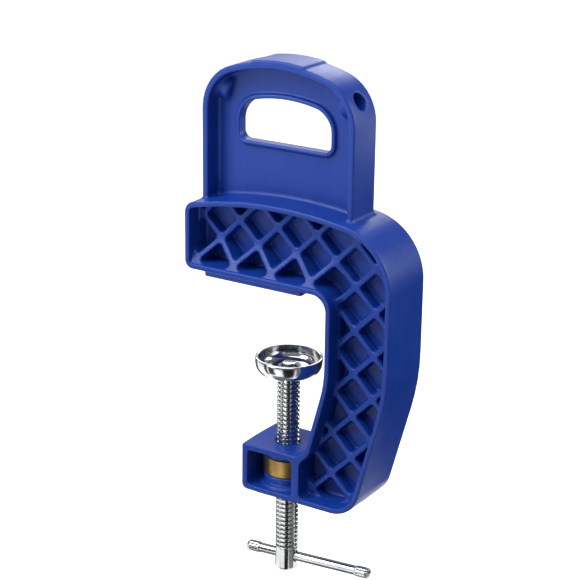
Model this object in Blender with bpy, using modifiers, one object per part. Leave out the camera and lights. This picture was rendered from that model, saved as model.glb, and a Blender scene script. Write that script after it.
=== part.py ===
# Table clamp with a moulded C frame, a threaded spindle and a sliding tommy bar.
# Metres, +Z up. The spindle's axis is the Z axis and Z = 0 is the upper jaw's clamping face.
# +X runs towards the spine, and the frame is the same on both sides of the XZ plane.

import math

import bmesh
import bpy
from mathutils import Matrix, Vector

# Frame
FRAME_THICKNESS = 0.034
RIM_WALL = 0.003
WEB_THICKNESS = 0.004
TIP_X = -0.0536
JAW_TOP_Z = 0.0442
JAW_TOP_RADIUS = 0.220
JAW_TOP_CREST_X = 0.002
JAW_UNDERSIDE_Z = 0.0025
THROAT_DEPTH = 0.0307
THROAT_HEIGHT = 0.0861
THROAT_TOP_RADIUS = 0.008
THROAT_FOOT_RADIUS = 0.008
SPINE_DEPTH = 0.0366
SPINE_SHOULDER_RADIUS = 0.032
SPINE_LEAN = math.radians(15.0)
SPINE_KNEE_Z = -0.0437
SPINE_KNEE_RADIUS = 0.120
THROAT_KNEE_Z = -0.0430
THROAT_KNEE_RADIUS = 0.060
HEEL_RADIUS = 0.017
BLOCK_HEIGHT = 0.0261
BLOCK_NOSE_X = -0.0181
BLOCK_CORNER_RADIUS = 0.0035
BLOCK_TOP_RADIUS = 0.0012
TIP_TOP_RADIUS = 0.006
TIP_FOOT_RADIUS = 0.0045

# Raised clamping face under the upper jaw
JAW_FACE_FROM_X = -0.0415
JAW_FACE_LENGTH = 0.0579
JAW_FACE_MARGIN = 0.0008

# Diagonal ribs in the frame
RIB_PITCH = 0.0227
RIB_WIDTH = 0.0024
RIB_DEPTH = 0.0085
RIB_NODE_X = 0.0428
RIB_NODE_Z = 0.0080
CELL_CORNER_RADIUS = 0.0025
GUSSET_RISE = 0.0145

# Pocket for the nut in the lower block
POCKET_WALL = 0.0034
POCKET_NOSE_WALL = 0.0038
PARTITION_GAP = 0.0004
PARTITION_WALL = 0.0045
POCKET_CORNER_RADIUS = 0.002
BOSS_MARGIN = 0.0003
SEAT_MARGIN = 0.0002
BOSS_FOOT_FLARE = 0.0022
BOSS_FOOT_HEIGHT = 0.0012

# Handle plate above the upper jaw
PLATE_THICKNESS = 0.0215
PLATE_CENTRE_X = -0.00265
PLATE_WIDTH = 0.0883
PLATE_TOP_Z = 0.1136
PLATE_TOP_RADIUS = 0.088
PLATE_SHOULDER_RADIUS = 0.024
PLATE_RIM_WALL = 0.0034
PLATE_WEB = 0.0024
WINDOW_WIDTH = 0.0534
WINDOW_FLOOR_Z = 0.0711
WINDOW_TOP_Z = 0.0942
WINDOW_TOP_RADIUS = 0.077
WINDOW_SHOULDER_RADIUS = 0.012
WINDOW_FLOOR_RADIUS = 0.004
WINDOW_LIP_WALL = 0.0023
WINDOW_LIP_DEPTH = 0.0068
LAND_LENGTH = 0.030
LAND_HEIGHT = 0.001

# Blind sockets in the plate's shoulders
SOCKET_DIAMETER = 0.009
SOCKET_WALL = 0.002
SOCKET_FROM_CENTRE = 0.04055
SOCKET_Z = 0.0983
SOCKET_TILT = math.radians(20.0)
SOCKET_DEPTH = 0.0080
SOCKET_END_WALL = 0.0018

# Spindle, nut and tommy bar
SPINDLE_DIAMETER = 0.012
SPINDLE_CHAMFER = 0.0011
FIT_GAP = 0.0003
BORE_CLEARANCE = 0.0004
NUT_DIAMETER = 0.024
NUT_HEIGHT = 0.0093
NUT_ABOVE_FLOOR = 0.0059
NUT_KEY_DEPTH = 0.0025
NUT_CHAMFER = 0.0004
HEAD_BELOW_BAR = 0.0075
BAR_BELOW_NUT = 0.0490
BAR_DIAMETER = 0.0050
BAR_LENGTH = 0.0720
BAR_SHIFT = 0.0128
BAR_YAW = math.radians(5.7)
BAR_END_SWELL = 0.0004
BAR_END_LENGTH = 0.0080
BAR_END_TAPER = 0.0008
BAR_TIP_ROUND = 0.0012

# Pressure pad
PAD_DIAMETER = 0.035
PAD_FLARE = 0.004
PAD_SHEET = 0.0018
PAD_TOP_Z = -0.0395
PAD_HEIGHT = 0.0087
PAD_RIM_HEIGHT = 0.0028
NECK_DIAMETER = 0.007
PAD_HOLE_CLEARANCE = 0.0006
WASHER_DIAMETER = 0.0155
WASHER_SHEET = 0.0012
RING_DIAMETER = 0.0115
RING_SHEET = 0.0012
RING_GROOVE_DEPTH = 0.0008
RING_MOUTH = 0.0027
SWIVEL_GAP = 0.0006
NECK_TIP = 0.0015
NECK_CHAMFER = 0.0005

# Places that follow from the sizes above
SPINE_BACK_X = THROAT_DEPTH + SPINE_DEPTH
BLOCK_TOP_Z = -THROAT_HEIGHT
BLOCK_BOTTOM_Z = BLOCK_TOP_Z - BLOCK_HEIGHT
BLOCK_FLOOR_Z = BLOCK_BOTTOM_Z + RIM_WALL
NUT_BOTTOM_Z = BLOCK_FLOOR_Z + NUT_ABOVE_FLOOR
NUT_TOP_Z = NUT_BOTTOM_Z + NUT_HEIGHT
BOSS_RADIUS = NUT_DIAMETER / 2 + BOSS_MARGIN
PARTITION_FROM_X = BOSS_RADIUS + PARTITION_GAP
SPINDLE_RADIUS = SPINDLE_DIAMETER / 2
BAR_Z = NUT_BOTTOM_Z - BAR_BELOW_NUT
HEAD_BOTTOM_Z = BAR_Z - HEAD_BELOW_BAR
PAD_BOTTOM_Z = PAD_TOP_Z - PAD_HEIGHT
PAD_FLOOR_Z = PAD_BOTTOM_Z + PAD_SHEET
WASHER_TOP_Z = PAD_BOTTOM_Z - SWIVEL_GAP
SHOULDER_Z = WASHER_TOP_Z - WASHER_SHEET - FIT_GAP
RING_BOTTOM_Z = PAD_FLOOR_Z + SWIVEL_GAP
SEGMENTS = 40
ARC_STEP = math.radians(11.0)
SMALL_ARC_STEP = math.radians(30.0)
SMALL_RADIUS = 0.005
ARC_CHORD = 0.011
OVERCUT = 0.001

# Colour, metallic and roughness of each material
FINISHES = {
    "blue_plastic": ((0.022, 0.045, 0.270), 0.0, 0.42),
    "brass": ((0.560, 0.370, 0.120), 1.0, 0.30),
    "zinc_plate": ((0.720, 0.740, 0.750), 1.0, 0.18),
    "chrome": ((0.780, 0.790, 0.800), 1.0, 0.08),
    "spring_steel": ((0.250, 0.250, 0.260), 1.0, 0.35),
}


def clear_scene():
    for obj in list(bpy.data.objects):
        bpy.data.objects.remove(obj)


def add_collection(name):
    collection = bpy.data.collections.new(name)
    bpy.context.scene.collection.children.link(collection)
    return collection


def material(name):
    found = bpy.data.materials.get(name)
    if found:
        return found
    colour, metallic, roughness = FINISHES[name]
    made = bpy.data.materials.new(name)
    made.use_nodes = True
    shader = made.node_tree.nodes["Principled BSDF"]
    shader.inputs["Base Color"].default_value = (*colour, 1.0)
    shader.inputs["Metallic"].default_value = metallic
    shader.inputs["Roughness"].default_value = roughness
    return made


def add_part(obj, finish):
    PARTS.objects.link(obj)
    obj.data.materials.clear()
    obj.data.materials.append(material(finish))
    obj.data.shade_smooth()
    obj.data.set_sharp_from_angle(angle=math.radians(30.0))
    return obj


def add_cutter(obj):
    CUTTERS.objects.link(obj)
    obj.hide_render = True
    obj.display_type = "WIRE"
    return obj


def combine(target, tool, operation):
    modifier = target.modifiers.new(f"{operation.lower()}_{tool.name}", "BOOLEAN")
    modifier.operation = operation
    modifier.solver = "EXACT"
    modifier.object = tool


# Outlines: corners are (x, z, radius), counterclockwise, as seen with +X right and +Z up.


def inset_corners(corners, inset):
    # Moves every side inwards; an outer corner's radius shrinks and an inner corner's grows.
    moved = []
    for i, (x, z, radius) in enumerate(corners):
        here = Vector((x, z))
        way_in = (here - Vector(corners[i - 1][:2])).normalized()
        way_out = (Vector(corners[(i + 1) % len(corners)][:2]) - here).normalized()
        normal_in = Vector((-way_in.y, way_in.x))
        normal_out = Vector((-way_out.y, way_out.x))
        here = here + (normal_in + normal_out) * (inset / (1.0 + normal_in.dot(normal_out)))
        outer = way_in.cross(way_out) > 0
        radius = radius - inset if outer else radius + inset
        moved.append((here.x, here.y, max(radius, 0.0)))
    return moved


def corner_arc(before, corner, after):
    here = Vector(corner[:2])
    way_in = (here - Vector(before[:2])).normalized()
    way_out = (Vector(after[:2]) - here).normalized()
    turn = math.atan2(way_in.cross(way_out), way_in.dot(way_out))
    radius = corner[2]
    if radius < 0.0001:
        return [here]
    start = here - way_in * (radius * math.tan(abs(turn) / 2))
    side = math.copysign(1.0, turn)
    centre = start + Vector((-way_in.y, way_in.x)) * (radius * side)
    step = SMALL_ARC_STEP if radius < SMALL_RADIUS else ARC_STEP
    count = max(2, math.ceil(abs(turn) / step), math.ceil(abs(turn) * radius / ARC_CHORD))
    spoke = start - centre
    return [centre + Matrix.Rotation(turn * i / count, 2) @ spoke for i in range(count + 1)]


def outline(corners, inset=0.0):
    corners = inset_corners(corners, inset)
    points = []
    for i, corner in enumerate(corners):
        points += corner_arc(corners[i - 1], corner, corners[(i + 1) % len(corners)])
    return points


def leaning_x(z, knee_x, knee_z):
    return knee_x + (z - knee_z) * math.tan(SPINE_LEAN)


def frame_corners():
    # The jaw's top is an arc of JAW_TOP_RADIUS that meets the shoulder's arc without a kink.
    crest_centre_z = JAW_TOP_Z - JAW_TOP_RADIUS
    shoulder_x = SPINE_BACK_X - SPINE_SHOULDER_RADIUS
    fall = math.asin((shoulder_x - JAW_TOP_CREST_X) / (JAW_TOP_RADIUS - SPINE_SHOULDER_RADIUS))
    rise = math.asin((JAW_TOP_CREST_X - TIP_X - TIP_TOP_RADIUS) / JAW_TOP_RADIUS)
    half = (fall + rise) / 2
    apex_reach = JAW_TOP_RADIUS / math.cos(half)
    apex_x = JAW_TOP_CREST_X + apex_reach * math.sin((fall - rise) / 2)
    apex_z = crest_centre_z + apex_reach * math.cos((fall - rise) / 2)
    return [
        (BLOCK_NOSE_X, BLOCK_BOTTOM_Z, BLOCK_CORNER_RADIUS),
        (leaning_x(BLOCK_BOTTOM_Z, SPINE_BACK_X, SPINE_KNEE_Z), BLOCK_BOTTOM_Z, HEEL_RADIUS),
        (SPINE_BACK_X, SPINE_KNEE_Z, SPINE_KNEE_RADIUS),
        (SPINE_BACK_X, apex_z - (SPINE_BACK_X - apex_x) * math.tan(fall), SPINE_SHOULDER_RADIUS),
        (apex_x, apex_z, JAW_TOP_RADIUS),
        (TIP_X, apex_z - (apex_x - TIP_X) * math.tan(rise), TIP_TOP_RADIUS),
        (TIP_X, JAW_UNDERSIDE_Z, TIP_FOOT_RADIUS),
        (THROAT_DEPTH, JAW_UNDERSIDE_Z, THROAT_TOP_RADIUS),
        (THROAT_DEPTH, THROAT_KNEE_Z, THROAT_KNEE_RADIUS),
        (leaning_x(BLOCK_TOP_Z, THROAT_DEPTH, THROAT_KNEE_Z), BLOCK_TOP_Z, THROAT_FOOT_RADIUS),
        (BLOCK_NOSE_X, BLOCK_TOP_Z, BLOCK_TOP_RADIUS),
    ]


def arch_corners(width, floor_z, top_z, top_radius, shoulder_radius, floor_radius):
    # An arch of top_radius whose shoulders join it and the upright sides without a kink.
    half = width / 2
    reach = (half - shoulder_radius) / (top_radius - shoulder_radius)
    fall = math.asin(reach)
    apex_z = top_z - top_radius + top_radius / math.cos(fall)
    side_z = apex_z - half * math.tan(fall)
    left = PLATE_CENTRE_X - half
    right = PLATE_CENTRE_X + half
    return [
        (left, floor_z, floor_radius),
        (right, floor_z, floor_radius),
        (right, side_z, shoulder_radius),
        (PLATE_CENTRE_X, apex_z, top_radius),
        (left, side_z, shoulder_radius),
    ]


def box_corners(x_from, x_to, z_from, z_to, radius):
    corners = [(x_from, z_from), (x_to, z_from), (x_to, z_to), (x_from, z_to)]
    return [(*corner, radius) for corner in corners]


# Solids


def flat_mesh(name, outlines, y_from, y_to):
    # One or more outlines in the XZ plane, given thickness along Y.
    curve = bpy.data.curves.new(name, "CURVE")
    curve.dimensions = "2D"
    curve.fill_mode = "BOTH"
    curve.extrude = (y_to - y_from) / 2
    for points in outlines:
        spline = curve.splines.new("POLY")
        spline.points.add(len(points) - 1)
        for point, at in zip(spline.points, points):
            point.co = (at.x, at.y, 0.0, 1.0)
        spline.use_cyclic_u = True
    source = bpy.data.objects.new(name, curve)
    bpy.context.scene.collection.objects.link(source)
    source.rotation_euler = (math.radians(90.0), 0.0, 0.0)
    source.location = (0.0, (y_from + y_to) / 2, 0.0)
    bpy.context.view_layer.update()
    graph = bpy.context.evaluated_depsgraph_get()
    mesh = bpy.data.meshes.new_from_object(source.evaluated_get(graph))
    mesh.transform(source.matrix_world)
    bpy.data.objects.remove(source)
    return tidy_mesh(mesh, name)


def tidy_mesh(mesh, name):
    mesh.name = name
    work = bmesh.new()
    work.from_mesh(mesh)
    bmesh.ops.remove_doubles(work, verts=work.verts, dist=0.000001)
    bmesh.ops.recalc_face_normals(work, faces=work.faces)
    work.to_mesh(mesh)
    work.free()
    return mesh


def flat(name, outlines, y_from, y_to):
    return add_cutter(bpy.data.objects.new(name, flat_mesh(name, outlines, y_from, y_to)))


def both_sides(name, outlines, y_from, y_to):
    # The same outlines on the -Y side and on the +Y side.
    near = flat_mesh(name, outlines, -y_to, -y_from)
    far = flat_mesh(name, outlines, y_from, y_to)
    work = bmesh.new()
    work.from_mesh(near)
    work.from_mesh(far)
    work.to_mesh(near)
    work.free()
    bpy.data.meshes.remove(far)
    return add_cutter(bpy.data.objects.new(name, near))


def rod(name, radius, start, end, segments=SEGMENTS):
    start = Vector(start)
    way = Vector(end) - start
    work = bmesh.new()
    turn = way.to_track_quat("Z", "Y").to_matrix().to_4x4()
    place = Matrix.Translation(start + way / 2) @ turn
    bmesh.ops.create_cone(
        work,
        cap_ends=True,
        segments=segments,
        radius1=radius,
        radius2=radius,
        depth=way.length,
        matrix=place,
    )
    mesh = bpy.data.meshes.new(name)
    work.to_mesh(mesh)
    work.free()
    return bpy.data.objects.new(name, mesh)


def turned(name, profile, origin_z, segments=SEGMENTS, closed=False):
    # A profile of (radius, z), its outer side running from top to bottom, turned about Z.
    mesh = bpy.data.meshes.new(name)
    edges = [(i, i + 1) for i in range(len(profile) - 1)]
    if closed:
        edges.append((len(profile) - 1, 0))
    mesh.from_pydata([(radius, 0.0, z - origin_z) for radius, z in profile], edges, [])
    obj = bpy.data.objects.new(name, mesh)
    obj.location.z = origin_z
    screw = obj.modifiers.new("turn", "SCREW")
    screw.steps = segments
    screw.render_steps = segments
    screw.use_merge_vertices = True
    screw.merge_threshold = 0.00001
    screw.use_smooth_shade = True
    return obj


# Frame


def rib_cells():
    # Square cells standing on a corner, with ribs of RIB_WIDTH between them.
    step = RIB_PITCH / 2
    half = step - RIB_WIDTH / math.sqrt(2.0)
    cells = []
    left = math.floor((TIP_X - RIB_NODE_X) / step)
    right = math.ceil((SPINE_BACK_X - RIB_NODE_X) / step)
    bottom = math.floor((BLOCK_BOTTOM_Z - RIB_NODE_Z) / step)
    top = math.ceil((JAW_TOP_Z - RIB_NODE_Z) / step)
    for column in range(left, right + 1):
        for row in range(bottom, top + 1):
            if (column + row) % 2 == 0:
                continue
            x = RIB_NODE_X + column * step
            z = RIB_NODE_Z + row * step
            corners = [(x - half, z), (x, z - half), (x + half, z), (x, z + half)]
            cells.append(outline([(*corner, CELL_CORNER_RADIUS) for corner in corners]))
    return cells


def gusset():
    # Above the jaw's lower rim the ribs rise from RIB_DEPTH to the rim's face.
    face = FRAME_THICKNESS / 2
    rib_y = face - RIB_DEPTH
    foot_z = JAW_UNDERSIDE_Z + RIM_WALL / 2
    top_z = JAW_UNDERSIDE_Z + RIM_WALL + GUSSET_RISE
    section = [(rib_y - OVERCUT, foot_z), (face, foot_z), (rib_y, top_z), (rib_y - OVERCUT, top_z)]
    work = bmesh.new()
    for side in (-1.0, 1.0):
        ends = []
        for x in (TIP_X - OVERCUT, THROAT_DEPTH + RIM_WALL):
            ends.append([work.verts.new((x, side * y, z)) for y, z in section])
            work.faces.new(ends[-1])
        for i in range(len(section)):
            work.faces.new((ends[0][i - 1], ends[0][i], ends[1][i], ends[1][i - 1]))
    bmesh.ops.recalc_face_normals(work, faces=work.faces)
    mesh = bpy.data.meshes.new("gusset")
    work.to_mesh(mesh)
    work.free()
    return add_cutter(bpy.data.objects.new("gusset", mesh))


def ribs():
    # A slab on each side of the web, with the cells taken out of it.
    face = FRAME_THICKNESS / 2
    web = WEB_THICKNESS / 2
    cover = box_corners(
        TIP_X - OVERCUT,
        SPINE_BACK_X + OVERCUT,
        BLOCK_BOTTOM_Z - OVERCUT,
        JAW_TOP_Z + OVERCUT,
        0.0,
    )
    slab = both_sides("ribs", [outline(cover)], web - OVERCUT, face - RIB_DEPTH)
    combine(slab, gusset(), "UNION")
    cells = both_sides("rib_cells", rib_cells(), web - 2 * OVERCUT, face + 2 * OVERCUT)
    combine(slab, cells, "DIFFERENCE")
    return slab


def ribbed_recess():
    face = FRAME_THICKNESS / 2
    recess = both_sides("recess", [outline(frame_corners(), RIM_WALL)], WEB_THICKNESS / 2, face + OVERCUT)
    block_x = PARTITION_FROM_X + PARTITION_WALL
    block_z = BLOCK_TOP_Z + 2 * THROAT_FOOT_RADIUS
    block = [outline(box_corners(TIP_X, block_x, BLOCK_BOTTOM_Z - OVERCUT, block_z, 0.0))]
    combine(recess, flat("nut_block", block, -face - 2 * OVERCUT, face + 2 * OVERCUT), "DIFFERENCE")
    combine(recess, ribs(), "DIFFERENCE")
    return recess


def nut_block(frame):
    # A pocket from each side and a boss for the spindle, which the nut's seat interrupts.
    face = FRAME_THICKNESS / 2
    pocket = box_corners(
        BLOCK_NOSE_X + POCKET_NOSE_WALL,
        PARTITION_FROM_X,
        BLOCK_FLOOR_Z,
        BLOCK_TOP_Z - POCKET_WALL,
        POCKET_CORNER_RADIUS,
    )
    room = both_sides("nut_pocket", [outline(pocket)], WEB_THICKNESS / 2, face + OVERCUT)
    combine(frame, room, "DIFFERENCE")
    foot_radius = BOSS_RADIUS + BOSS_FOOT_FLARE
    profile = [
        (0.0, BLOCK_TOP_Z - POCKET_WALL / 2),
        (BOSS_RADIUS, BLOCK_TOP_Z - POCKET_WALL / 2),
        (BOSS_RADIUS, BLOCK_FLOOR_Z + BOSS_FOOT_HEIGHT),
        (foot_radius, BLOCK_FLOOR_Z),
        (foot_radius, BLOCK_FLOOR_Z - RIM_WALL / 2),
        (0.0, BLOCK_FLOOR_Z - RIM_WALL / 2),
    ]
    combine(frame, add_cutter(turned("spindle_boss", profile, 0.0)), "UNION")
    seat_from = (0.0, 0.0, NUT_BOTTOM_Z - FIT_GAP)
    seat_to = (0.0, 0.0, NUT_TOP_Z + FIT_GAP)
    seat = add_cutter(rod("nut_seat", BOSS_RADIUS + SEAT_MARGIN, seat_from, seat_to))
    rail = key_rail("nut_key_rail", -NUT_DIAMETER / 2 + NUT_KEY_DEPTH, WEB_THICKNESS / 2)
    combine(seat, rail, "DIFFERENCE")
    combine(frame, seat, "DIFFERENCE")


def key_rail(name, x_to, half_width):
    # The strip of web that fills the nut's key slot, or with more width the slot itself.
    z_from = NUT_BOTTOM_Z - 2 * OVERCUT
    z_to = NUT_TOP_Z + 2 * OVERCUT
    bar = outline(box_corners(-NUT_DIAMETER, x_to, z_from, z_to, 0.0))
    return flat(name, [bar], -half_width, half_width)


def handle_plate():
    face = PLATE_THICKNESS / 2
    floor_z = JAW_UNDERSIDE_Z + RIM_WALL + GUSSET_RISE
    arch = arch_corners(PLATE_WIDTH, floor_z, PLATE_TOP_Z, PLATE_TOP_RADIUS, PLATE_SHOULDER_RADIUS, 0.0)
    plate = flat("handle_plate", [outline(arch)], -face, face)
    land_x = (PLATE_CENTRE_X - LAND_LENGTH / 2, PLATE_CENTRE_X + LAND_LENGTH / 2)
    land = flat("top_land", [outline(arch, -LAND_HEIGHT)], -face, face)
    reach = [outline(box_corners(*land_x, WINDOW_TOP_Z, PLATE_TOP_Z + 2 * LAND_HEIGHT, 0.0))]
    combine(land, flat("top_land_limits", reach, -face - OVERCUT, face + OVERCUT), "INTERSECT")
    combine(plate, land, "UNION")
    recess = both_sides("plate_recess", [outline(arch, PLATE_RIM_WALL)], PLATE_WEB / 2, face + OVERCUT)
    combine(plate, recess, "DIFFERENCE")
    window = arch_corners(
        WINDOW_WIDTH,
        WINDOW_FLOOR_Z,
        WINDOW_TOP_Z,
        WINDOW_TOP_RADIUS,
        WINDOW_SHOULDER_RADIUS,
        WINDOW_FLOOR_RADIUS,
    )
    lip = flat("window_lip", [outline(window, -WINDOW_LIP_WALL)], -WINDOW_LIP_DEPTH / 2, WINDOW_LIP_DEPTH / 2)
    combine(plate, lip, "UNION")
    combine(plate, flat("window", [outline(window)], -face, face), "DIFFERENCE")
    for side, name in ((-1.0, "left"), (1.0, "right")):
        boss = socket_rod(f"socket_boss_{name}", side, SOCKET_WALL, -PLATE_RIM_WALL / 2, SOCKET_END_WALL)
        bore = socket_rod(f"socket_bore_{name}", side, 0.0, SOCKET_DIAMETER, 0.0)
        combine(plate, boss, "UNION")
        combine(plate, bore, "DIFFERENCE")
    return plate


def socket_rod(name, side, wall, lead, end_wall):
    # The socket's axis runs down and inwards from its mouth, and the rod starts lead before it.
    mouth = Vector((PLATE_CENTRE_X + side * SOCKET_FROM_CENTRE, 0.0, SOCKET_Z))
    way = Vector((-side * math.cos(SOCKET_TILT), 0.0, -math.sin(SOCKET_TILT)))
    start = mouth - way * lead
    end = mouth + way * (SOCKET_DEPTH + end_wall)
    return add_cutter(rod(name, SOCKET_DIAMETER / 2 + wall, start, end, 24))


def c_frame():
    face = FRAME_THICKNESS / 2
    body = flat_mesh("c_frame", [outline(frame_corners())], -face, face)
    frame = add_part(bpy.data.objects.new("c_frame", body), "blue_plastic")
    jaw_face = box_corners(
        JAW_FACE_FROM_X,
        JAW_FACE_FROM_X + JAW_FACE_LENGTH,
        0.0,
        JAW_UNDERSIDE_Z + RIM_WALL / 2,
        0.0,
    )
    pad = flat("jaw_face", [outline(jaw_face)], -face + JAW_FACE_MARGIN, face - JAW_FACE_MARGIN)
    combine(frame, pad, "UNION")
    combine(frame, handle_plate(), "UNION")
    combine(frame, ribbed_recess(), "DIFFERENCE")
    nut_block(frame)
    bore_from = (0.0, 0.0, BLOCK_BOTTOM_Z - OVERCUT)
    bore_to = (0.0, 0.0, BLOCK_TOP_Z + OVERCUT)
    bore = rod("spindle_bore", SPINDLE_RADIUS + BORE_CLEARANCE, bore_from, bore_to)
    combine(frame, add_cutter(bore), "DIFFERENCE")


# Moving pieces


def threaded_nut():
    radius = NUT_DIAMETER / 2
    bore = SPINDLE_RADIUS + FIT_GAP
    edge = NUT_CHAMFER
    profile = [
        (radius - edge, NUT_TOP_Z),
        (radius, NUT_TOP_Z - edge),
        (radius, NUT_BOTTOM_Z + edge),
        (radius - edge, NUT_BOTTOM_Z),
        (bore, NUT_BOTTOM_Z),
        (bore, NUT_TOP_Z),
    ]
    nut = add_part(turned("threaded_nut", profile, NUT_BOTTOM_Z, closed=True), "brass")
    slot_x = -radius + NUT_KEY_DEPTH + FIT_GAP
    combine(nut, key_rail("nut_key_slot", slot_x, WEB_THICKNESS / 2 + FIT_GAP), "DIFFERENCE")


def spindle():
    neck = NECK_DIAMETER / 2
    ring_top_z = RING_BOTTOM_Z + RING_SHEET
    groove = neck - RING_GROOVE_DEPTH
    tip_z = ring_top_z + FIT_GAP + NECK_TIP
    chamfer = SPINDLE_CHAMFER
    profile = [
        (0.0, tip_z),
        (neck - NECK_CHAMFER, tip_z),
        (neck, tip_z - NECK_CHAMFER),
        (neck, ring_top_z + FIT_GAP),
        (groove, ring_top_z + FIT_GAP),
        (groove, RING_BOTTOM_Z - FIT_GAP),
        (neck, RING_BOTTOM_Z - FIT_GAP),
        (neck, SHOULDER_Z),
        (SPINDLE_RADIUS - chamfer, SHOULDER_Z),
        (SPINDLE_RADIUS, SHOULDER_Z - chamfer),
        (SPINDLE_RADIUS, HEAD_BOTTOM_Z + chamfer),
        (SPINDLE_RADIUS - chamfer, HEAD_BOTTOM_Z),
        (0.0, HEAD_BOTTOM_Z),
    ]
    shaft = add_part(turned("spindle", profile, BAR_Z), "zinc_plate")
    way = Vector((math.cos(BAR_YAW), math.sin(BAR_YAW), 0.0)) * SPINDLE_DIAMETER
    middle = Vector((0.0, 0.0, BAR_Z))
    hole = rod("bar_hole", BAR_DIAMETER / 2 + FIT_GAP, middle - way, middle + way, 24)
    combine(shaft, add_cutter(hole), "DIFFERENCE")


def tommy_bar():
    half = BAR_LENGTH / 2
    radius = BAR_DIAMETER / 2
    end = radius + BAR_END_SWELL
    step = half - BAR_END_LENGTH
    profile = [(0.0, half)]
    for degrees in (90.0, 45.0, 0.0):
        across = BAR_TIP_ROUND * (1.0 - math.cos(math.radians(degrees)))
        along = BAR_TIP_ROUND * (1.0 - math.sin(math.radians(degrees)))
        profile.append((end - across, half - along))
    profile += [(end, step + BAR_END_TAPER), (radius, step)]
    profile += [(at, -z) for at, z in reversed(profile)]
    bar = add_part(turned("tommy_bar", profile, 0.0, 24), "zinc_plate")
    bar.rotation_euler = (0.0, math.radians(90.0), BAR_YAW)
    bar.location = (BAR_SHIFT * math.cos(BAR_YAW), BAR_SHIFT * math.sin(BAR_YAW), BAR_Z)


def pressure_pad():
    # A dish of even sheet: a quarter ellipse joins the flat floor to the upright rim.
    rim = PAD_DIAMETER / 2
    floor = rim - PAD_FLARE
    hole = NECK_DIAMETER / 2 + PAD_HOLE_CLEARANCE
    lower_z = PAD_TOP_Z - PAD_RIM_HEIGHT
    edge = PAD_SHEET / 3
    drop = lower_z - PAD_BOTTOM_Z
    outer = []
    inner = []
    for i in range(7):
        across = math.cos(math.radians(15.0 * i))
        down = math.sin(math.radians(15.0 * i))
        outer.append((floor + PAD_FLARE * across, lower_z - drop * down))
        inner.append((floor + (PAD_FLARE - PAD_SHEET) * across, lower_z - (drop - PAD_SHEET) * down))
    profile = [(rim - edge, PAD_TOP_Z), (rim, PAD_TOP_Z - edge)]
    profile += outer
    profile += [(hole, PAD_BOTTOM_Z), (hole, PAD_FLOOR_Z)]
    profile += reversed(inner)
    profile.append((rim - PAD_SHEET, PAD_TOP_Z))
    add_part(turned("pressure_pad", profile, PAD_BOTTOM_Z, 48, closed=True), "chrome")


def ring(name, bore, radius, bottom_z, sheet, finish):
    edge = sheet / 4
    profile = [
        (radius - edge, bottom_z + sheet),
        (radius, bottom_z + sheet - edge),
        (radius, bottom_z + edge),
        (radius - edge, bottom_z),
        (bore, bottom_z),
        (bore, bottom_z + sheet),
    ]
    return add_part(turned(name, profile, bottom_z, closed=True), finish)


def swivel_rings():
    neck = NECK_DIAMETER / 2
    bottom_z = WASHER_TOP_Z - WASHER_SHEET
    ring("thrust_washer", neck + FIT_GAP, WASHER_DIAMETER / 2, bottom_z, WASHER_SHEET, "zinc_plate")
    bore = neck - RING_GROOVE_DEPTH + FIT_GAP
    radius = RING_DIAMETER / 2
    clip = ring("retaining_ring", bore, radius, RING_BOTTOM_Z, RING_SHEET, "spring_steel")
    mouth_from = RING_BOTTOM_Z - OVERCUT
    mouth_to = RING_BOTTOM_Z + RING_SHEET + OVERCUT
    mouth = outline(box_corners(0.0, RING_DIAMETER, mouth_from, mouth_to, 0.0))
    combine(clip, flat("ring_mouth", [mouth], -RING_MOUTH / 2, RING_MOUTH / 2), "DIFFERENCE")


clear_scene()
PARTS = add_collection("c_clamp")
CUTTERS = add_collection("cutters")
c_frame()
threaded_nut()
spindle()
tommy_bar()
pressure_pad()
swivel_rings()
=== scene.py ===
import math

import bmesh
import bpy
import numpy as np
from mathutils import Matrix, Vector


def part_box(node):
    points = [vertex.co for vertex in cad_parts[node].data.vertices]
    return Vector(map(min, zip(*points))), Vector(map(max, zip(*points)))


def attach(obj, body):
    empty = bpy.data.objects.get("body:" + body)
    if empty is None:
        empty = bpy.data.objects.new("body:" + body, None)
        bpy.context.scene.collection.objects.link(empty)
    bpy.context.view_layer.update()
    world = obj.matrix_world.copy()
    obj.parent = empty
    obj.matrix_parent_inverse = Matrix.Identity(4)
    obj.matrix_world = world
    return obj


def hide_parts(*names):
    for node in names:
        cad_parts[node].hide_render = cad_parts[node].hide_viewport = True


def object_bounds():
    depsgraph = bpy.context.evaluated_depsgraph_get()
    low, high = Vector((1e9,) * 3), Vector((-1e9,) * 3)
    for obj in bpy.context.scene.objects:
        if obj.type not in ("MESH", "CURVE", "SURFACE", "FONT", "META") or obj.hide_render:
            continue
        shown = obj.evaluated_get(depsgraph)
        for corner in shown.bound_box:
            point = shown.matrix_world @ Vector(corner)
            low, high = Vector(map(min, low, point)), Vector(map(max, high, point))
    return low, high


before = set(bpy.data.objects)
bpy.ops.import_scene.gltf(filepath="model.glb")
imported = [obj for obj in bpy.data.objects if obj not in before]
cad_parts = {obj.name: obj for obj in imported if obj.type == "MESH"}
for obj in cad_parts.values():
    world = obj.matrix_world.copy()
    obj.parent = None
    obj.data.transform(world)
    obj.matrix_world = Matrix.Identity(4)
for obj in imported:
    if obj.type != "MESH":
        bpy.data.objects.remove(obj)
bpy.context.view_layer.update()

# Table clamp: shapes are worked out in millimetres and written to the meshes in metres.
# X runs from the screw to the spine, Z up the screw, Y across; Z = 0 is the upper jaw's face.
mm = 0.001
print("frame loaded:", len(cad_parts), "nodes")


def newObject(name, mesh):
    obj = bpy.data.objects.new(name, mesh)
    bpy.context.scene.collection.objects.link(obj)
    return obj


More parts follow.
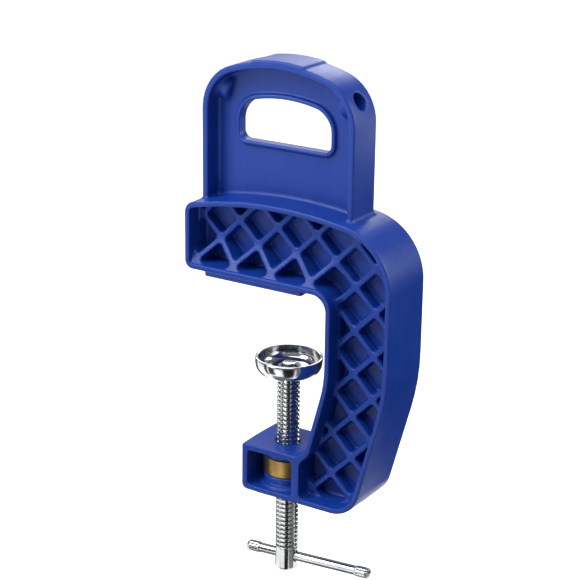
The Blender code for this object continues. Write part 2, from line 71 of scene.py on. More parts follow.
def meshFrom(name, points, faces):
    # points in millimetres, faces as one array of quads
    mesh = bpy.data.meshes.new(name)
    corners = faces.shape[1]
    mesh.vertices.add(len(points))
    mesh.vertices.foreach_set("co", (points * mm).astype(np.float32).ravel())
    mesh.loops.add(faces.size)
    mesh.loops.foreach_set("vertex_index", faces.astype(np.int32).ravel())
    mesh.polygons.add(len(faces))
    mesh.polygons.foreach_set("loop_start", np.arange(0, faces.size, corners, dtype=np.int32))
    mesh.update(calc_edges=True)
    mesh.shade_smooth()
    return mesh


def tidy(obj, mergeAt=0.000002):
    work = bmesh.new()
    work.from_mesh(obj.data)
    bmesh.ops.remove_doubles(work, verts=work.verts, dist=mergeAt)
    bmesh.ops.dissolve_degenerate(work, edges=work.edges, dist=mergeAt)
    bmesh.ops.recalc_face_normals(work, faces=work.faces)
    work.to_mesh(obj.data)
    work.free()
    obj.data.shade_smooth()


def applyModifiers(obj):
    graph = bpy.context.evaluated_depsgraph_get()
    made = bpy.data.meshes.new_from_object(obj.evaluated_get(graph))
    obj.modifiers.clear()
    obj.data = made
    return obj


def cutWith(obj, *cutters):
    for cutter in cutters:
        cut = obj.modifiers.new("cut", "BOOLEAN")
        cut.operation = "DIFFERENCE"
        cut.solver = "EXACT"
        cut.object = cutter
    applyModifiers(obj)
    for cutter in cutters:
        bpy.data.objects.remove(cutter)
    return obj


def finishPiece(obj, ridesOn, node, material, sharpAbove=None):
    # sharpAbove in degrees keeps the edges of turned and pressed metal crisp
    obj.data.materials.clear()
    obj.data.materials.append(material)
    obj.data.shade_smooth()
    if sharpAbove:
        obj.data.set_sharp_from_angle(angle=math.radians(sharpAbove))
    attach(obj, ridesOn)
    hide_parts(node)


def both(a, b, radius):
    # inside a and b, with the shared edge rounded
    a = a + radius
    b = b + radius
    corner = np.hypot(np.maximum(a, 0), np.maximum(b, 0))
    return np.minimum(np.maximum(a, b), 0) + corner - radius


def either(a, b, radius):
    # inside a or b, with a fillet between them
    return -both(-a, -b, radius)


def without(a, b, radius):
    return both(a, -b, radius)


def ease(value, start, end):
    t = np.clip((value - start) / (end - start), 0, 1)
    return t * t * (3 - 2 * t)


def filletedLine(corners, step=4.0):
    # corners are (x, z, radius), counterclockwise; the result follows every rounding closely
    points = []
    for i, (x, z, radius) in enumerate(corners):
        here = np.array((x, z))
        wayIn = here - np.array(corners[i - 1][:2])
        wayOut = np.array(corners[(i + 1) % len(corners)][:2]) - here
        wayIn = wayIn / np.linalg.norm(wayIn)
        wayOut = wayOut / np.linalg.norm(wayOut)
        cross = wayIn[0] * wayOut[1] - wayIn[1] * wayOut[0]
        turn = math.atan2(cross, wayIn @ wayOut)
        if radius < 0.01:
            points.append(here)
            continue
        start = here - wayIn * radius * math.tan(abs(turn) / 2)
        side = math.copysign(1.0, turn)
        centre = start + np.array((-wayIn[1], wayIn[0])) * radius * side
        count = max(4, math.ceil(abs(math.degrees(turn)) / step))
        for k in range(count + 1):
            a = turn * k / count
            spoke = start - centre
            c, s = math.cos(a), math.sin(a)
            turned = np.array((c * spoke[0] - s * spoke[1], s * spoke[0] + c * spoke[1]))
            points.append(centre + turned)
    return np.array(points)


def outlineField(corners, x, z):
    line = filletedLine(corners)
    best = np.full(np.broadcast(x, z).shape, 1e9)
    crossings = np.zeros(best.shape, int)
    for (ax, az), (bx, bz) in zip(line, np.roll(line, -1, axis=0)):
        dx, dz = bx - ax, bz - az
        long = dx * dx + dz * dz
        if long < 1e-12:
            continue
        t = np.clip(((x - ax) * dx + (z - az) * dz) / long, 0, 1)
        best = np.minimum(best, (x - ax - t * dx) ** 2 + (z - az - t * dz) ** 2)
        if az != bz:
            spans = (az > z) != (bz > z)
            crossings += spans & (x < ax + (z - az) * dx / dz)
    return np.where(crossings % 2 == 1, -np.sqrt(best), np.sqrt(best))


def boxField(x, z, x0, x1, z0, z1, radius):
    a = np.abs(x - (x0 + x1) / 2) - (x1 - x0) / 2
    b = np.abs(z - (z0 + z1) / 2) - (z1 - z0) / 2
    return both(a, b, radius)


def skin(field, xs, ys, zs):
    # one vertex in every cell that the surface crosses, and one quad round every crossed edge
    inside = field < 0
    shape = np.array(field.shape) - 1
    count = np.zeros(shape, np.int8)
    for i in (0, 1):
        for j in (0, 1):
            for k in (0, 1):
                count += inside[i:i + shape[0], j:j + shape[1], k:k + shape[2]]
    active = (count > 0) & (count < 8)
    cells = np.argwhere(active)
    number = np.full(active.shape, -1, np.int64)
    number[active] = np.arange(len(cells))
    total = np.zeros((len(cells), 3))
    hits = np.zeros(len(cells))
    for axis in range(3):
        for u in (0, 1):
            for v in (0, 1):
                low = np.zeros(3, int)
                low[(axis + 1) % 3] = u
                low[(axis + 2) % 3] = v
                high = low.copy()
                high[axis] = 1
                p, q = cells + low, cells + high
                fp = field[p[:, 0], p[:, 1], p[:, 2]]
                fq = field[q[:, 0], q[:, 1], q[:, 2]]
                cross = (fp < 0) != (fq < 0)
                t = fp[cross] / (fp[cross] - fq[cross])
                at = np.tile(low.astype(float), (cross.sum(), 1))
                at[:, axis] = t
                total[cross] += at
                hits[cross] += 1
    inCell = total / hits[:, None]
    points = np.empty_like(inCell)
    for axis, line in enumerate((xs, ys, zs)):
        i = cells[:, axis]
        points[:, axis] = line[i] + inCell[:, axis] * (line[i + 1] - line[i])
    quads = []
    for axis in range(3):
        u, v = (axis + 1) % 3, (axis + 2) % 3
        lowSide = [slice(None)] * 3
        highSide = [slice(None)] * 3
        lowSide[axis] = slice(0, -1)
        highSide[axis] = slice(1, None)
        low = inside[tuple(lowSide)]
        changed = low != inside[tuple(highSide)]
        edge = [slice(None)] * 3
        for other in (u, v):
            edge[other] = slice(1, -1)
        where = np.argwhere(changed[tuple(edge)])
        for other in (u, v):
            where[:, other] += 1
        stepU = np.zeros(3, int)
        stepV = np.zeros(3, int)
        stepU[u] = 1
        stepV[v] = 1
        ring = [where - stepU - stepV, where - stepV, where, where - stepU]
        quad = np.stack([number[c[:, 0], c[:, 1], c[:, 2]] for c in ring], axis=1)
        outward = low[where[:, 0], where[:, 1], where[:, 2]]
        quads.append(np.where(outward[:, None], quad, quad[:, ::-1]))
    return points, np.concatenate(quads)


body = {
    "half": 17.0, "rim": 3.0, "web": 2.0,
    "outerEdge": 0.8, "innerEdge": 0.6, "floorFillet": 1.3, "draft": 0.012, "sideDraft": 0.006,
    "back": 67.3, "lean": math.tan(math.radians(15.0)),
    "throat": 30.7, "throatTop": 2.5, "blockTop": -86.1, "blockFloor": -112.2, "nose": -18.1,
    "tip": -53.6, "bend": -43.7, "throatBend": -43.0,
    "crest": (2.0, 44.2), "topRadius": 220.0, "shoulder": 32.0, "recessCorner": 3.0,
    "noseBow": 0.2, "bowX": (-14.0, -6.0), "bowZ": (-86.0, -80.0),
}
# how far each corner of the outline is rounded
rounding = {
    "noseFoot": 3.5, "heel": 17.0, "spine": 120.0, "tipTop": 6.0, "tipFoot": 4.5,
    "throatRoof": 8.0, "throatSide": 60.0, "throatFloor": 8.0, "noseTop": 1.2,
}
# areas are (from x, to x, from z, to z, corner)
jawFace = {"area": (-41.5, 16.4, 0.02, 4.0, 0.7), "half": 16.2, "edge": 0.6, "fillet": 0.4}
ribs = {
    "pitch": 22.7 / math.sqrt(2.0), "node": (42.8, 8.0), "width": 2.75, "top": 8.5,
    "corner": 1.9, "wallCorner": 1.6, "edge": 0.45, "root": 0.8, "draft": 0.016, "overlap": 1.5,
    "rampFrom": 20.5, "rampTo": 6.2, "rampTop": 15.6, "rampEnd": (29.7, 36.7), "rampPower": 1.15,
    "rampAbove": -5.0,
}
block = {
    "partition": 12.7, "wall": 4.5, "noseWall": 3.8, "roof": 3.4, "floor": 3.0, "corner": 2.0,
    "boss": 12.3, "foot": 14.3, "footHeight": 1.3, "seat": 12.5, "seatZ": (-103.6, -93.7),
    "key": -9.5, "bore": 6.4, "boreTop": -80.0, "keepAbove": 16.0,
    "draft": 0.015, "floorFillet": 0.8, "fillet": 0.5, "seatEdge": 0.3, "overlap": 1.0,
}
# arch and window are (width, floor z, top z, top radius, shoulder, corner at the floor)
plate = {
    "arch": (88.3, 20.0, 113.6, 88.0, 24.0, 0.0), "centre": -2.65, "half": 10.75,
    "rim": 3.4, "web": 1.2, "outerEdge": 0.9, "innerEdge": 0.8, "webFillet": 1.6,
    "footFillet": 2.0, "webFoot": 1.8, "footArea": (-45.0, 40.0, 20.0, 60.0, 0.5),
    "land": 1.0, "landEnds": (13.8, 16.0), "landAbove": 95.0,
    "window": (53.4, 71.1, 94.2, 77.0, 12.0, 4.0), "windowEdge": 0.9,
    "lip": 2.3, "lipHalf": 3.4, "lipEdge": 1.1, "lipFoot": 1.0,
}
# the blind bores at the plate's upper corners, and the bosses round them
bore = {
    "radius": 4.5, "depth": 8.0, "x": 40.55, "z": 98.3, "tilt": math.radians(20.0),
    "endEdge": 0.4, "mouthEdge": 0.7,
    "boss": 6.5, "bossEnd": 9.8, "bossEdge": 2.6, "bossFillet": 1.8, "bossInset": 1.5,
}


def archCorners(width, floorZ, topZ, topRadius, shoulder, floorRadius):
    half = width / 2
    fall = math.asin((half - shoulder) / (topRadius - shoulder))
    apexZ = topZ - topRadius + topRadius / math.cos(fall)
    sideZ = apexZ - half * math.tan(fall)
    left, right = plate["centre"] - half, plate["centre"] + half
    return [(left, floorZ, floorRadius), (right, floorZ, floorRadius), (right, sideZ, shoulder),
            (plate["centre"], apexZ, topRadius), (left, sideZ, shoulder)]


def frameCorners():
    crest, topZ = body["crest"]
    topRadius, shoulder, tip = body["topRadius"], body["shoulder"], body["tip"]
    fall = math.asin((body["back"] - shoulder - crest) / (topRadius - shoulder))
    rise = math.asin((crest - tip - rounding["tipTop"]) / topRadius)
    reach = topRadius / math.cos((fall + rise) / 2)
    apexX = crest + reach * math.sin((fall - rise) / 2)
    apexZ = topZ - topRadius + reach * math.cos((fall - rise) / 2)
    heelX = body["back"] + (body["blockFloor"] - body["bend"]) * body["lean"]
    footX = body["throat"] + (body["blockTop"] - body["throatBend"]) * body["lean"]
    return [
        (body["nose"], body["blockFloor"], rounding["noseFoot"]),
        (heelX, body["blockFloor"], rounding["heel"]),
        (body["back"], body["bend"], rounding["spine"]),
        (body["back"], apexZ - (body["back"] - apexX) * math.tan(fall), shoulder),
        (apexX, apexZ, topRadius),
        (tip, apexZ - (apexX - tip) * math.tan(rise), rounding["tipTop"]),
        (tip, body["throatTop"], rounding["tipFoot"]),
        (body["throat"], body["throatTop"], rounding["throatRoof"]),
        (body["throat"], body["throatBend"], rounding["throatSide"]),
        (footX, body["blockTop"], rounding["throatFloor"]),
        (body["nose"], body["blockTop"], rounding["noseTop"]),
    ]


def ribField(x, z):
    # two families of straight ribs that cross at right angles, filleted where they meet
    u = ((x - ribs["node"][0]) + (z - ribs["node"][1])) / math.sqrt(2.0)
    v = ((x - ribs["node"][0]) - (z - ribs["node"][1])) / math.sqrt(2.0)
    p = ribs["pitch"]
    a = np.abs(u - np.round(u / p) * p) - ribs["width"] / 2
    b = np.abs(v - np.round(v / p) * p) - ribs["width"] / 2
    return either(a, b, ribs["corner"])


def ribTop(x, z):
    # inside the upper jaw the ribs climb towards its lower rim
    climb = np.clip((ribs["rampFrom"] - z) / (ribs["rampFrom"] - ribs["rampTo"]), 0, 1)
    climb = climb ** ribs["rampPower"] * (1 - ease(x, *ribs["rampEnd"])) * (z > ribs["rampAbove"])
    return ribs["top"] + climb * (ribs["rampTop"] - ribs["top"])


def mainBody(x, y, z, upper):
    outline = outlineField(frameCorners(), x, z)
    face = body["half"]
    nose = (1 - ease(x, *body["bowX"])) * (1 - ease(z, *body["bowZ"]))
    outside = outline + body["noseBow"] * (y / face) ** 2 * nose + body["sideDraft"] * y
    shell = both(outside, y - face, body["outerEdge"])
    # a broad fillet under the plate's web, between its two rims
    foot = either(shell, y - plate["web"], plate["webFoot"])
    foot = np.maximum(foot, boxField(x, z, *plate["footArea"]))
    solid = np.minimum(either(shell, upper, plate["footFillet"]), foot)
    # the raised face that bears on the table
    raised = both(boxField(x, z, *jawFace["area"]), y - jawFace["half"], jawFace["edge"])
    solid = either(solid, raised, jawFace["fillet"])
    # the recess on each side, which stops at the nut's block
    keep = np.maximum(x - block["partition"] - block["wall"],
                      z - body["blockTop"] - block["keepAbove"])
    room = without(outline + body["rim"], keep, body["recessCorner"])
    drafted = room + (face - y) * body["draft"]
    hollow = both(drafted, body["web"] - y, body["floorFillet"])
    solid = without(solid, hollow, body["innerEdge"])
    top = ribTop(x, z)
    plan = either(ribField(x, z), -room, ribs["wallCorner"])
    rib = both(plan - (top - y) * ribs["draft"], y - top, ribs["edge"])
    rib = np.maximum(rib, room - ribs["overlap"])
    return either(solid, rib, ribs["root"])


def nutBlock(solid, x, y, z):
    face = body["half"]
    floor = body["blockFloor"] + block["floor"]
    roof = body["blockTop"] - block["roof"]
    pocket = boxField(x, z, body["nose"] + block["noseWall"], block["partition"], floor, roof,
                      block["corner"])
    pocket = both(pocket + (face - y) * block["draft"], body["web"] - y, block["floorFillet"])
    solid = without(solid, pocket, body["innerEdge"])
    axis = np.hypot(x, y)
    middle = (floor + roof) / 2
    fillet, overlap = block["fillet"], block["overlap"]
    boss = np.maximum(axis - block["boss"], np.abs(z - middle) - (roof - floor) / 2 - overlap)
    solid = either(solid, boss, fillet)
    foot = both(axis - block["foot"], z - floor - block["footHeight"], fillet)
    foot = np.maximum(foot, np.maximum(floor - overlap - z, x - block["partition"]))
    solid = either(solid, foot, fillet)
    z0, z1 = block["seatZ"]
    seat = np.maximum(axis - block["seat"], np.abs(z - (z0 + z1) / 2) - (z1 - z0) / 2)
    seat = np.maximum(seat, -np.maximum(x - block["key"], y - body["web"]))
    solid = without(solid, seat, block["seatEdge"])
    return without(solid, np.maximum(axis - block["bore"], z - block["boreTop"]), fillet)


def handlePlate(x, y, z):
    face = plate["half"]
    arch = outlineField(archCorners(*plate["arch"]), x, z)
    # the low land on top of the arch, with its ends eased down
    beyond = ease(np.abs(x - plate["centre"]), *plate["landEnds"])
    land = plate["land"] * (1 - beyond) * (z > plate["landAbove"])
    solid = both(arch - land + body["sideDraft"] * y, y - face, plate["outerEdge"])
    hollow = both(arch + plate["rim"] + (face - y) * body["draft"], plate["web"] - y,
                  plate["webFillet"])
    solid = without(solid, hollow, plate["innerEdge"])
    window = outlineField(archCorners(*plate["window"]), x, z)
    lip = both(window - plate["lip"], y - plate["lipHalf"], plate["lipEdge"])
    solid = either(solid, lip, plate["lipFoot"])
    tilt = bore["tilt"]
    bores = []
    for side in (-1.0, 1.0):
        mouthX, mouthZ = plate["centre"] + side * bore["x"], bore["z"]
        along = (x - mouthX) * -side * math.cos(tilt) + (z - mouthZ) * -math.sin(tilt)
        square = (x - mouthX) ** 2 + (z - mouthZ) ** 2 + y ** 2 - along ** 2
        radial = np.sqrt(np.maximum(square, 0))
        boss = both(radial - bore["boss"], along - bore["bossEnd"], bore["bossEdge"])
        boss = np.maximum(boss, arch + bore["bossInset"])
        solid = either(solid, boss, bore["bossFillet"])
        bores.append(both(radial - bore["radius"], along - bore["depth"], bore["endEdge"]))
    return solid, window, bores


grid = {
    "step": 0.6, "quickStep": 0.85, "margin": 2.0, "farMargin": 2.5, "mostTriangles": 190000,
    # half the thickness, finest where the floors, rib tops and faces lie: (until, stride)
    "firstLayer": 0.3,
    "across": ((4.2, 0.55), (6.9, 0.9), (11.4, 0.55), (14.4, 0.75), (18.6, 0.5)),
}


def mouldedFrame():
    step = grid["step"]
    low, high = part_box("c_frame")
    xs, zs = (np.arange(start / mm - grid["margin"], end / mm + grid["farMargin"], step)
              for start, end in ((low.x, high.x), (low.z, high.z)))
    halfLine = [grid["firstLayer"]]
    for until, stride in grid["across"]:
        while halfLine[-1] < until:
            halfLine.append(halfLine[-1] + stride)
    halfLine = np.array(halfLine)
    x = xs[:, None, None]
    y = halfLine[None, :, None]
    z = zs[None, None, :]
    upper, window, bores = handlePlate(x, y, z)
    solid = nutBlock(mainBody(x, y, z, upper), x, y, z)
    solid = without(solid, window, plate["windowEdge"])
    for hole in bores:
        solid = without(solid, hole, bore["mouthEdge"])
    field = np.concatenate([solid[:, ::-1, :], solid], axis=1)
    ys = np.concatenate([-halfLine[::-1], halfLine])
    points, quads = skin(field, xs, ys, zs)
    obj = newObject("mouldedFrame", meshFrom("mouldedFrame", points, quads))
    print("moulded frame:", len(quads), "quads before thinning")
    thin = obj.modifiers.new("thin", "DECIMATE")
    thin.ratio = min(1.0, grid["mostTriangles"] / (2 * len(quads)))
    applyModifiers(obj)
    return obj


def lathe(name, profile, around=96, shape=None, closed=False):
    # profile of (radius, z); shape(radius, z, angle) may change the radius round the axis
    profile = np.array(profile, float)
    angles = np.arange(around) * 2 * math.pi / around
    radius = np.repeat(profile[:, 0][:, None], around, axis=1)
    height = np.repeat(profile[:, 1][:, None], around, axis=1)
    if shape:
        radius = shape(radius, height, angles[None, :])
    points = np.stack([radius * np.cos(angles), radius * np.sin(angles), height], axis=-1)
    rows = len(profile)
    i = np.arange(rows if closed else rows - 1)[:, None]
    j = np.arange(around)[None, :]
    nextRow = (i + 1) % rows
    nextCol = (j + 1) % around
    quads = np.stack(np.broadcast_arrays(i * around + j, nextRow * around + j,
                                         nextRow * around + nextCol, i * around + nextCol), axis=-1)
    obj = newObject(name, meshFrom(name, points.reshape(-1, 3), quads.reshape(-1, 4)))
    tidy(obj)
    return obj


def bevelled(corners, radius, count=4):
    # a profile whose corners (radius, z, or with a rounding of their own) are rounded off
    made = []
    for i, corner in enumerate(corners):
        here = np.array(corner[:2], float)
        r = corner[2] if len(corner) > 2 else radius
        if r <= 0 or i in (0, len(corners) - 1):
            made.append(here)
            continue
        before = np.array(corners[i - 1][:2], float) - here
        after = np.array(corners[i + 1][:2], float) - here
        r = min(r, np.linalg.norm(before) * 0.49, np.linalg.norm(after) * 0.49)
        start = here + before / np.linalg.norm(before) * r
        end = here + after / np.linalg.norm(after) * r
        for k in range(count + 1):
            t = k / count
            made.append((1 - t) ** 2 * start + 2 * t * (1 - t) * here + t ** 2 * end)
    return made


screw = {
    "radius": 6.0, "chamfer": 1.1, "neck": 3.5, "shoulder": -50.3,
    "ringGroove": (-44.34, -46.16), "ringSeat": 2.7,
    "pitch": 2.5, "depth": 1.35, "crest": 0.40, "flank": 0.42, "easing": 0.12,
    "threadFrom": -50.6, "threadTo": -147.6,
    "startFade": (-50.5, -50.0), "endFade": (-147.8, -146.0),
    "rowsPerPitch": 20, "around": 96, "headRow": 0.8, "barZ": -152.3, "yaw": math.radians(5.7),
    # half of the cross hole: (radius, distance from the axis, rounding)
    "hole": ((0.0, 12.0), (5.4, 12.0, 0.0), (3.25, 5.55, 0.5), (2.8, 4.9, 0.4)),
}


def alongBar(obj, shift=0.0):
    # lays a piece turned round Z along the tommy bar's axis
    way = Vector((math.cos(screw["yaw"]), math.sin(screw["yaw"]), 0)) * shift * mm
    turn = Matrix.Rotation(screw["yaw"], 4, "Z") @ Matrix.Rotation(math.radians(90), 4, "Y")
    obj.data.transform(Matrix.Translation(way + Vector((0, 0, screw["barZ"] * mm))) @ turn)
    return obj


def threadRadius(radius, z, angle):
    # a rolled thread: flat crests, rounded roots, running out into the plain head
    turn = z / screw["pitch"] - angle / (2 * math.pi)
    phase = np.abs((turn % 1.0) * 2 - 1)
    groove = np.clip((phase - screw["crest"]) / screw["flank"], 0, 1)
    groove = groove + screw["easing"] * (ease(groove, 0, 1) - groove)
    fade = ease(z, *screw["endFade"]) * (1 - ease(z, *screw["startFade"]))
    cut = screw["radius"] - screw["depth"] * groove * fade
    return np.where(z < screw["threadFrom"] + 0.3, np.minimum(radius, cut), radius)


def makeSpindle():
    low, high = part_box("spindle")
    bottom, top = low.z / mm, high.z / mm
    radius, chamfer, shoulder = screw["radius"], screw["chamfer"], screw["shoulder"]
    neck, seat = screw["neck"], screw["ringSeat"]
    ringTop, ringFloor = screw["ringGroove"]
    profile = bevelled([(0, top), (neck, top, 0.5), (neck, ringTop, 0.1), (seat, ringTop, 0.1),
                        (seat, ringFloor, 0.1), (neck, ringFloor, 0.1), (neck, shoulder, 0.2),
                        (radius - chamfer, shoulder, 0.2), (radius, shoulder - chamfer)], 0.2)
    # close rows for the thread, then wider ones down the plain head
    step = screw["pitch"] / screw["rowsPerPitch"]
    z = shoulder - chamfer - step
    while z > screw["threadTo"] - 0.6:
        profile.append((radius, z))
        z -= step
    while z > bottom + chamfer + 0.9:
        profile.append((radius, z))
        z -= screw["headRow"]
    profile += bevelled([(radius, z), (radius, bottom + chamfer, 0.3),
                         (radius - chamfer, bottom, 0.5), (0, bottom)], 0.3)
    obj = lathe("screwSpindle", profile, screw["around"], threadRadius)
    # the cross hole, with its mouths eased
    upper = screw["hole"]
    lower = tuple((r, -z, *more) for r, z, *more in reversed(upper))
    return cutWith(obj, alongBar(lathe("crossHole", bevelled(upper + lower, 0.4), 64)))


bar = {
    "radius": 2.6, "length": 72.0, "shift": 12.8, "endRadius": 3.0, "endLength": 8.0,
    "endRows": 12, "waist": 0.02, "stepRows": 8, "stepAbove": 0.7, "stepLength": 1.1,
    "flutes": 8, "fluteDepth": 0.36, "fluteShape": 0.8, "fluteReach": (-0.4, 1.8), "plainTip": 1.2,
    # the rounded tip: (radius, distance from the end)
    "tip": ((0.0, 0.0), (1.3, 0.02), (2.0, 0.22), (2.55, 0.62), (2.85, 1.2), (2.98, 1.9)),
}


def fluted(radius, z, angle):
    # both ends are squeezed into shallow flutes that run out towards the plain rod
    fromStep = np.abs(z) - (bar["length"] / 2 - bar["endLength"])
    reach = ease(fromStep, *bar["fluteReach"])
    wave = np.abs(np.sin(angle * bar["flutes"] / 2)) ** bar["fluteShape"]
    return radius - bar["fluteDepth"] * (1 - wave) * reach * (radius > bar["plainTip"])


def makeBar():
    half = bar["length"] / 2
    step = half - bar["endLength"]
    side = [(radius, half - away) for radius, away in bar["tip"]]
    tipEnd = side[-1][1]
    stepTop = step + bar["stepAbove"]
    for k in range(1, bar["endRows"] + 1):
        t = k / bar["endRows"]
        side.append((bar["endRadius"] - bar["waist"] * t, tipEnd - (tipEnd - stepTop) * t))
    for k in range(1, bar["stepRows"] + 1):
        t = k / bar["stepRows"]
        radius = bar["endRadius"] + (bar["radius"] - bar["endRadius"]) * ease(np.array(t), 0, 1)
        side.append((float(radius), stepTop - bar["stepLength"] * t))
    side += [(bar["radius"], step - 1.5), (bar["radius"], step * 0.5)]
    profile = side + [(bar["radius"], 0.0)] + [(r, -z) for r, z in reversed(side)]
    return alongBar(lathe("tommyBar", profile, 96, fluted), bar["shift"])


dish = {
    "radius": 17.5, "flare": 4.0, "sheet": 1.8, "top": -39.5, "height": 8.7, "rim": 2.8,
    "hole": 4.1, "holeEdge": 0.3, "lipInside": 0.5,
    # the rolled lip: (from the outer radius, from the top)
    "lip": ((-1.45, -0.12), (-1.1, 0.0), (-0.6, 0.0), (-0.25, -0.12), (-0.05, -0.45)),
}


def makePad():
    rim, sheet, flare = dish["radius"], dish["sheet"], dish["flare"]
    hole, edge, top = dish["hole"], dish["holeEdge"], dish["top"]
    floor = rim - flare
    bottom = top - dish["height"]
    lower = top - dish["rim"]
    drop = lower - bottom
    outer, inner = [], []
    for k in range(19):
        a = math.radians(90 * k / 18)
        outer.append((floor + flare * math.cos(a), lower - drop * math.sin(a)))
        inner.append((floor + (flare - sheet) * math.cos(a), lower - (drop - sheet) * math.sin(a)))
    profile = [(rim + r, top + z) for r, z in dish["lip"]] + outer
    profile += [(hole + edge, bottom), (hole, bottom + edge),
                (hole, bottom + sheet - edge), (hole + edge, bottom + sheet)]
    profile += inner[::-1] + [(rim - sheet, top - dish["lipInside"])]
    return lathe("pressurePad", profile, 144, closed=True)


# seam is where on the upper face the turned profile starts and ends
nut = {
    "radius": 12.0, "bore": 6.3, "edge": 0.4, "boreEdge": 0.4, "seam": 8.3, "around": 128,
    "slotAt": -12.6, "slot": (6.8, 4.6, 20.0),
}
washer = {
    "radius": 7.75, "bore": 3.8, "edge": 0.35, "boreEdge": 0.2, "seam": 5.0, "around": 96,
}


def flatRing(name, size, bottom, top):
    radius, edge, hole, holeEdge = size["radius"], size["edge"], size["bore"], size["boreEdge"]
    profile = bevelled([(size["seam"], top), (radius, top, edge), (radius, bottom, edge),
                        (hole, bottom, holeEdge), (hole, top, holeEdge), (size["seam"], top)], 0)
    return lathe(name, profile[:-1], size["around"], closed=True)


def makeNut():
    low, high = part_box("threaded_nut")
    bottom, top = low.z / mm, high.z / mm
    obj = flatRing("threadedNut", nut, bottom, top)
    # the slot that takes the block's key
    long, wide, tall = nut["slot"]
    middle = Matrix.Translation((nut["slotAt"] * mm, 0, (bottom + top) / 2 * mm))
    cut = bmesh.new()
    sides = Matrix.Diagonal((long * mm, wide * mm, tall * mm, 1))
    bmesh.ops.create_cube(cut, size=1, matrix=middle @ sides)
    mesh = bpy.data.meshes.new("keySlot")
    cut.to_mesh(mesh)
    cut.free()
    return cutWith(obj, newObject("keySlot", mesh))


def makeWasher():
    low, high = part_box("thrust_washer")
    return flatRing("thrustWasher", washer, low.z / mm, high.z / mm)


clip = {
    "outside": 5.75, "inside": 4.1, "mouthOutside": 13.6, "mouthInside": 26.0, "softEdge": 0.15,
    "lugDepth": 1.05, "lugSpread": 13.0, "lugs": (62.0, 180.0, 298.0),
}


def makeRing():
    # a pressed clip: three lugs grip the groove, and its mouth opens on one side
    low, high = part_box("retaining_ring")
    bottom, top = low.z / mm, high.z / mm
    outline = []
    start = clip["mouthOutside"]
    for k in range(72):
        a = math.radians(start + (360.0 - 2 * start) * k / 71)
        outline.append((clip["outside"] * math.cos(a), clip["outside"] * math.sin(a)))
    start = clip["mouthInside"]
    for k in range(96):
        a = math.radians(360.0 - start - (360.0 - 2 * start) * k / 95)
        away = min(abs(math.degrees(a) - at) for at in clip["lugs"])
        lug = math.exp(-(away / clip["lugSpread"]) ** 2)
        r = clip["inside"] - clip["lugDepth"] * lug
        outline.append((r * math.cos(a), r * math.sin(a)))
    work = bmesh.new()
    face = work.faces.new([work.verts.new((x * mm, y * mm, bottom * mm)) for x, y in outline])
    lifted = bmesh.ops.extrude_face_region(work, geom=[face])["geom"]
    upper = [v for v in lifted if isinstance(v, bmesh.types.BMVert)]
    bmesh.ops.translate(work, verts=upper, vec=(0, 0, (top - bottom) * mm))
    bmesh.ops.recalc_face_normals(work, faces=work.faces)
    mesh = bpy.data.meshes.new("retainingRing")
    work.to_mesh(mesh)
    work.free()
    obj = newObject("retainingRing", mesh)
    soften = obj.modifiers.new("soften", "BEVEL")
    soften.width = clip["softEdge"] * mm
    soften.segments = 2
    soften.limit_method = "ANGLE"
    soften.angle_limit = math.radians(50)
    return applyModifiers(obj)


def wire(tree, source, target):
    # source is another node's output, or a plain value
    if isinstance(source, bpy.types.NodeSocket):
        tree.links.new(source, target)
    else:
        target.default_value = source


def makeGroup(name, inputs, outputs):
    group = bpy.data.node_groups.new(name, "ShaderNodeTree")
    for label, default in inputs:
        made = group.interface.new_socket(name=label, in_out="INPUT", socket_type="NodeSocketFloat")
        made.default_value = default
    for label in outputs:
        group.interface.new_socket(name=label, in_out="OUTPUT", socket_type="NodeSocketFloat")
    return group, group.nodes.new("NodeGroupInput"), group.nodes.new("NodeGroupOutput")


def place(tree, kind, **values):
    node = tree.nodes.new(kind)
    for key, value in values.items():
        setattr(node, key, value)
    return node


def sockets(node, **values):
    for key, value in values.items():
        node.inputs[key].default_value = value
    return node


def mathNode(tree, operation, a, b=None, c=None):
    node = place(tree, "ShaderNodeMath", operation=operation)
    for i, value in enumerate((a, b, c)):
        if value is not None:
            wire(tree, value, node.inputs[i])
    return node.outputs[0]


def objectSpace(tree):
    return place(tree, "ShaderNodeTexCoord").outputs["Object"]


def noiseNode(tree, coordinates, scale, detail=3.0, roughness=0.5, stretch=None):
    if stretch:
        mapping = place(tree, "ShaderNodeMapping")
        mapping.inputs["Scale"].default_value = stretch
        wire(tree, coordinates, mapping.inputs["Vector"])
        coordinates = mapping.outputs[0]
    node = place(tree, "ShaderNodeTexNoise")
    wire(tree, coordinates, node.inputs["Vector"])
    wire(tree, scale, node.inputs["Scale"])
    sockets(node, Detail=detail, Roughness=roughness)
    return node.outputs["Fac"]


def grainGroup():
    # fine pitting, as on a spark-eroded mould or on plated steel
    tree, given, out = makeGroup("surfaceGrain", [("Scale", 2500.0), ("Softness", 0.5)],
                                 ["Height", "Speckle"])
    where = objectSpace(tree)
    fine = noiseNode(tree, where, given.outputs["Scale"], 2.0, 0.6)
    broadScale = mathNode(tree, "MULTIPLY", given.outputs["Scale"], 0.22)
    broad = noiseNode(tree, where, broadScale, 3.0, 0.5)
    mix = place(tree, "ShaderNodeMix")
    wire(tree, given.outputs["Softness"], mix.inputs["Factor"])
    wire(tree, fine, mix.inputs["A"])
    wire(tree, broad, mix.inputs["B"])
    wire(tree, mix.outputs["Result"], out.inputs["Height"])
    wire(tree, fine, out.inputs["Speckle"])
    return tree


